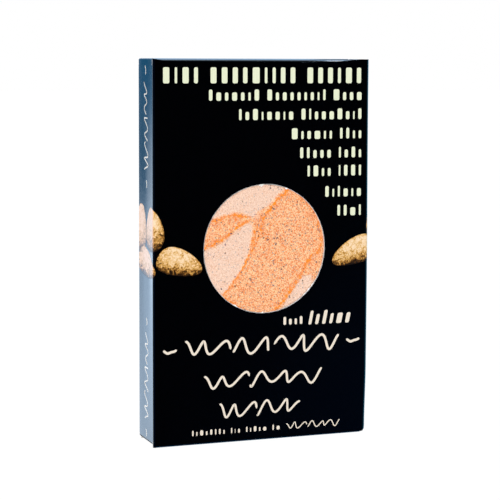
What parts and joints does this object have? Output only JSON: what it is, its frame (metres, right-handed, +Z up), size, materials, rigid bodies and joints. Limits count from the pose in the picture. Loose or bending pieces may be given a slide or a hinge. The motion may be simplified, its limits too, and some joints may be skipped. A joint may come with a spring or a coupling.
{
  "type": "ground nutmeg in a windowed folding carton",
  "caption": "Slim upright folding carton, shut at both ends, whose round front window shows the clear pouch of ground nutmeg that fills it.",
  "frame": {"origin": "on the surface the carton stands on, under the middle of its base", "axes": "+Z up along the carton's height, -Y out of the front panel with the window, +X to the right as seen from the front"},
  "size_m": [0.0834, 0.018, 0.14],
  "materials": {
    "black_board": "satin laminated",
    "white_core": "matte cut edge and uncoated inside of the board",
    "cream_print": "satin print",
    "nut_print": "satin print",
    "ground_nutmeg": "matte powder",
    "pouch_film": "clear gloss film"
  },
  "bodies": {
    "root": {"carton": "black_board", "nutmeg_pouch": "ground_nutmeg"}
  },
  "joints": []
}
